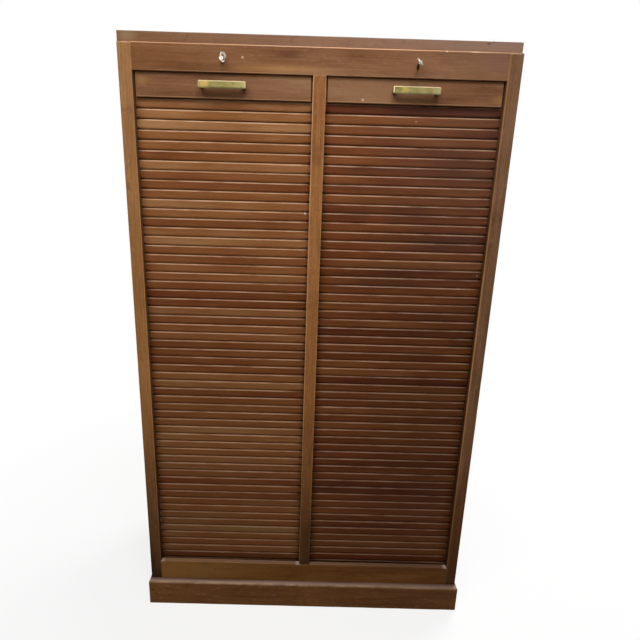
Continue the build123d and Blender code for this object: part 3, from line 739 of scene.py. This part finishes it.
# In mm, the slack over a curtain's first slats, what each slat adds, and how far its middle rides up
HANG = {"left": (2.2, 0.098, 5.3), "right": (2.9, 0.022, 5.8)}
SLACK_SLATS = 4

TONE_KEPT = 0.55  # the share of a slat's drift in tone that the next one keeps
TONE_SPREAD = 0.07
RED_SPREAD = 0.11
LEAN = 0.7  # degrees
SAG = 0.25  # mm

# A curtain's seed, its tone, the spread of the drift, its redness, and its odd slats, counted from
# the lead bar and cut from other boards, with what each adds to tone and redness
CURTAINS = {
    "left": (11, 0.10, 0.11, 0.04,
             {0: (0.08, 0.0), 20: (-0.16, 0.22), 21: (-0.14, 0.14), 55: (-0.05, 0.35)}),
    "right": (23, -0.11, 0.055, 0.08,
              {0: (-0.22, 0.05), 1: (0.14, -0.1), 30: (-0.1, 0.2), 55: (-0.05, 0.3)}),
}

CANVAS_GAP = 3 * MM
CANVAS_THICKNESS = 0.7 * MM
CANVAS_START = 0.3 * MM
CANVAS_CUTS = (56, 10, 8)  # down the straight run, round the turn and across


def slat_blank(left, right):
    """One slat on its own middle line, with softened front edges and a tongue at each end."""
    half = SLAT_HEIGHT / 2
    outline = (
        (-FACE_DEPTH, UNDER_HEIGHT - half),
        (-FACE_DEPTH, half - BEVEL_HEIGHT),
        (BEVEL_DEPTH - FACE_DEPTH, half),
        (TONGUE_DEPTH, half),
        (TONGUE_DEPTH, -half),
        (UNDER_DEPTH - FACE_DEPTH, -half),
    )
    mesh = bmesh.new()
    face = mesh.faces.new([mesh.verts.new((left, y, z)) for y, z in outline])
    grown = bmesh.ops.extrude_face_region(mesh, geom=[face])
    moved = [item for item in grown["geom"] if isinstance(item, bmesh.types.BMVert)]
    bmesh.ops.translate(mesh, vec=(right - left, 0, 0), verts=moved)
    bmesh.ops.remove_doubles(mesh, verts=mesh.verts, dist=1e-6)
    bmesh.ops.recalc_face_normals(mesh, faces=mesh.faces)
    front = []
    for edge in mesh.edges:
        a, b = (vert.co for vert in edge.verts)
        if abs(a.x - b.x) > 0.1 and max(a.y, b.y) < 0:
            front.append(edge)
    bmesh.ops.bevel(mesh, geom=front, offset=SLAT_ROUND, segments=2, profile=0.5, affect="EDGES",
                    material=-1)
    for n in range(1, SLAT_CUTS):
        geometry = mesh.verts[:] + mesh.edges[:] + mesh.faces[:]
        cut = (left + (right - left) * n / SLAT_CUTS, 0, 0)
        bmesh.ops.bisect_plane(mesh, geom=geometry, plane_co=cut, plane_no=(1, 0, 0))
    tongue = (TONGUE_LENGTH + TONGUE_ROOT, 2 * TONGUE_DEPTH, TONGUE_HEIGHT)
    for end, way in ((left, -1), (right, 1)):
        made = bmesh.ops.create_cube(mesh, size=1)["verts"]
        bmesh.ops.scale(mesh, vec=tongue, verts=made)
        middle = end + way * (TONGUE_LENGTH - TONGUE_ROOT) / 2
        bmesh.ops.translate(mesh, vec=(middle, 0, 0), verts=made)
    master = bpy.data.meshes.new("slat")
    mesh.to_mesh(master)
    mesh.free()
    return master


def slat_place(travel):
    """Where a slat's middle lies, a length travel along the track from the lead bar's foot."""
    run = LEAD_BAR_FOOT - TRACK_TURN
    if travel <= run:
        y = TRACK_Y - TRACK_TILT * (1 - travel / run)
        return Matrix.Translation((0, y, LEAD_BAR_FOOT - travel))
    turn = min((travel - run) / TRACK_RADIUS, math.pi / 2)
    past = max(0.0, travel - run - TRACK_RADIUS * math.pi / 2)
    y = TRACK_Y + TRACK_RADIUS * (1 - math.cos(turn)) + past
    z = TRACK_TURN - TRACK_RADIUS * math.sin(turn)
    return Matrix.Translation((0, y, z)) @ Matrix.Rotation(turn, 4, "X")


def shorten(piece):
    """Gives the piece its own copy of its mesh."""
    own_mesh(piece)


def curtain(side, seed, shift, spread, redness, odd):
    """All slats of a curtain in one piece, each with its own board, tone and small misfit."""
    low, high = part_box(f"{side}_slats")
    left, right = low.x + TONGUE_LENGTH, high.x - TONGUE_LENGTH
    master = slat_blank(left, right)
    draw = random.Random(seed)
    mesh = bmesh.new()
    tone = mesh.faces.layers.float.new("tone")
    blush = mesh.faces.layers.float.new("blush")
    lot = mesh.faces.layers.float_vector.new("lot")
    start, stretch, gather = HANG[side]
    drift = 0.0
    for n in range(SLATS):
        first_vert, first_face = len(mesh.verts), len(mesh.faces)
        mesh.from_mesh(master)
        mesh.verts.ensure_lookup_table()
        mesh.faces.ensure_lookup_table()
        odd_tone, odd_red = odd.get(n, (0, 0))
        drift = TONE_KEPT * drift + draw.uniform(-spread, spread)
        value = shift + drift + draw.uniform(-TONE_SPREAD, TONE_SPREAD) + odd_tone
        red = max(0.0, redness + draw.uniform(-RED_SPREAD, RED_SPREAD)) + odd_red
        board = Vector((draw.random(), draw.random(), draw.random()))
        lean = Matrix.Rotation(math.radians(draw.uniform(-LEAN, LEAN)), 4, "X")
        sag = draw.uniform(-SAG, SAG) * MM
        slack = start * min(1.0, n / SLACK_SLATS) + stretch * n - gather * math.sin(math.pi * n / SLATS)
        place = slat_place((n + 0.5) * SLAT_PITCH + slack * MM) @ lean
        for vert in mesh.verts[first_vert:]:
            reach = (vert.co.x - left) / (right - left)
            vert.co.z += sag * math.sin(math.pi * reach)
            vert.co = place @ vert.co
        for face in mesh.faces[first_face:]:
            face[tone] = value
            face[blush] = red
            face[lot] = board
    piece = keep(mesh, f"{side}_curtain_slats", f"{side}_tambour", slat_wood,
                 replaces=(f"{side}_slats",), eased=True)
    shorten(piece)


def backing(side):
    """The canvas behind a curtain's slats, one sheet carried round the turn."""
    low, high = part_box(f"{side}_canvas")
    width = high.x - low.x
    radius = TRACK_RADIUS - CANVAS_GAP
    straight, round_turn, across = CANVAS_CUTS
    line = [(TRACK_Y + CANVAS_GAP - TRACK_TILT, LEAD_BAR_FOOT - CANVAS_START)]
    for n in range(1, straight + 1):
        y = TRACK_Y + CANVAS_GAP - TRACK_TILT * (1 - n / straight)
        line.append((y, LEAD_BAR_FOOT + (TRACK_TURN - LEAD_BAR_FOOT) * n / straight))
    for n in range(1, round_turn + 1):
        turn = math.pi / 2 * n / round_turn
        y = TRACK_Y + TRACK_RADIUS - radius * math.cos(turn)
        line.append((y, TRACK_TURN - radius * math.sin(turn)))
    line.append((TRACK_Y + TRACK_RADIUS + TRACK_END, TRACK_TURN - radius))
    mesh = bmesh.new()
    verts = [mesh.verts.new((low.x, y, z)) for y, z in line]
    edges = [mesh.edges.new(pair) for pair in zip(verts, verts[1:])]
    for n in range(across):
        grown = bmesh.ops.extrude_edge_only(mesh, edges=edges)["geom"]
        moved = [item for item in grown if isinstance(item, bmesh.types.BMVert)]
        edges = [item for item in grown if isinstance(item, bmesh.types.BMEdge)]
        bmesh.ops.translate(mesh, vec=(width / across, 0, 0), verts=moved)
    bmesh.ops.recalc_face_normals(mesh, faces=mesh.faces)
    bmesh.ops.solidify(mesh, geom=mesh.faces[:], thickness=CANVAS_THICKNESS)
    piece = keep(mesh, f"{side}_curtain_canvas", f"{side}_tambour", canvas_cloth,
                 replaces=(f"{side}_canvas",))
    shorten(piece)


for side, made_of in CURTAINS.items():
    curtain(side, *made_of)
for side in CURTAINS:
    backing(side)

# ---- Floor, world and lamps

FLOOR_REACH = 20
FLOOR_SHADE = "#94826C"  # the floor as light finds it, and below as it is seen
FLOOR_SEEN = "#F0F0F0"
FLOOR_NEAR, FLOOR_FAR = 0.5, 1.5  # between these distances the floor brightens to plain white
FLOOR_GLOW = 0.8  # and this is the share of plain white at the near one
WORLD_SHADE = "#F4F6FA"
WORLD_STRENGTH = 0.05


def seen_straight(tree):
    """One where the camera, a reflection or a clear material looks at it, and nought for its light."""
    path = add(tree, "ShaderNodeLightPath").outputs
    seen = {0: path["Is Camera Ray"], 1: path["Is Glossy Ray"]}
    seen = add(tree, "ShaderNodeMath", seen, operation="MAXIMUM").outputs[0]
    seen = {0: seen, 1: path["Is Transmission Ray"]}
    return add(tree, "ShaderNodeMath", seen, operation="MAXIMUM").outputs[0]


def lay_floor():
    """A matt pale floor that is seen as white, with the cabinet's soft shadow on it."""
    mesh = bmesh.new()
    bmesh.ops.create_grid(mesh, x_segments=1, y_segments=1, size=FLOOR_REACH)
    data = bpy.data.meshes.new("floor")
    mesh.to_mesh(data)
    mesh.free()
    floor = bpy.data.objects.new("floor", data)
    bpy.context.scene.collection.objects.link(floor)
    material, tree, shader = blank("matt pale floor")
    seen = seen_straight(tree)
    shade = laid_on(tree, colour(FLOOR_SHADE), [(seen, FLOOR_SEEN)])
    tree.links.new(shade, shader.inputs["Base Color"])
    shader.inputs["Roughness"].default_value = 0.9
    shader.inputs["Specular IOR Level"].default_value = 0.0
    away = add(tree, "ShaderNodeTexCoord").outputs["Object"]
    away = add(tree, "ShaderNodeVectorMath", {0: away}, operation="LENGTH").outputs["Value"]
    span = {0: away, 1: FLOOR_NEAR, 2: FLOOR_FAR, 3: FLOOR_GLOW, 4: 1.0}
    glow = add(tree, "ShaderNodeMapRange", span).outputs[0]
    glow = add(tree, "ShaderNodeMath", {0: seen, 1: glow}, operation="MULTIPLY").outputs[0]
    white = add(tree, "ShaderNodeEmission", {"Color": WHITE, "Strength": 1.0})
    mixed = add(tree, "ShaderNodeMixShader", {0: glow, 1: shader.outputs[0], 2: white.outputs[0]})
    output = next(node for node in tree.nodes if node.type == "OUTPUT_MATERIAL")
    tree.links.new(mixed.outputs[0], output.inputs["Surface"])
    data.materials.append(material)


def set_world():
    """A room that gives little light of its own and is seen as plain white."""
    world = bpy.data.worlds.new("studio")
    bpy.context.scene.world = world
    world.use_nodes = True
    tree = world.node_tree
    tree.nodes.clear()
    seen = seen_straight(tree)
    dim = add(tree, "ShaderNodeBackground", {"Color": colour(WORLD_SHADE), "Strength": WORLD_STRENGTH})
    white = add(tree, "ShaderNodeBackground", {"Color": WHITE, "Strength": 1.0})
    both = add(tree, "ShaderNodeMixShader", {0: seen, 1: dim.outputs[0], 2: white.outputs[0]})
    add(tree, "ShaderNodeOutputWorld", {"Surface": both.outputs[0]})


def hang_lamp(name, place, target, size, power, tint):
    """A soft rectangular lamp at a place, turned towards a target."""
    data = bpy.data.lights.new(name, "AREA")
    data.shape = "RECTANGLE"
    data.size, data.size_y = size
    data.energy = power
    data.color = colour(tint)[:3]
    light = bpy.data.objects.new(name, data)
    light.location = place
    light.rotation_euler = (Vector(target) - Vector(place)).to_track_quat("-Z", "Y").to_euler()
    bpy.context.scene.collection.objects.link(light)


lay_floor()
set_world()
hang_lamp("window", (-0.65, -1.4, 2.65), (0.0, -0.18, 1.3), (1.6, 1.1), 29, "#FFF6EC")
hang_lamp("ceiling lamp", (0.3, -1.35, 2.62), (0.1, -0.18, 1.2), (0.4, 0.4), 15, "#F0EEFF")
hang_lamp("room light", (-0.2, -2.3, 2.0), (0.0, -0.18, 1.3), (2.8, 2.2), 23, "#FFF8F0")
hang_lamp("rear fill", (1.9, 1.9, 2.2), (0.0, 0.0, 0.9), (1.8, 1.8), 110, "#FFFFFF")

bpy.context.scene.view_settings.view_transform = "Standard"
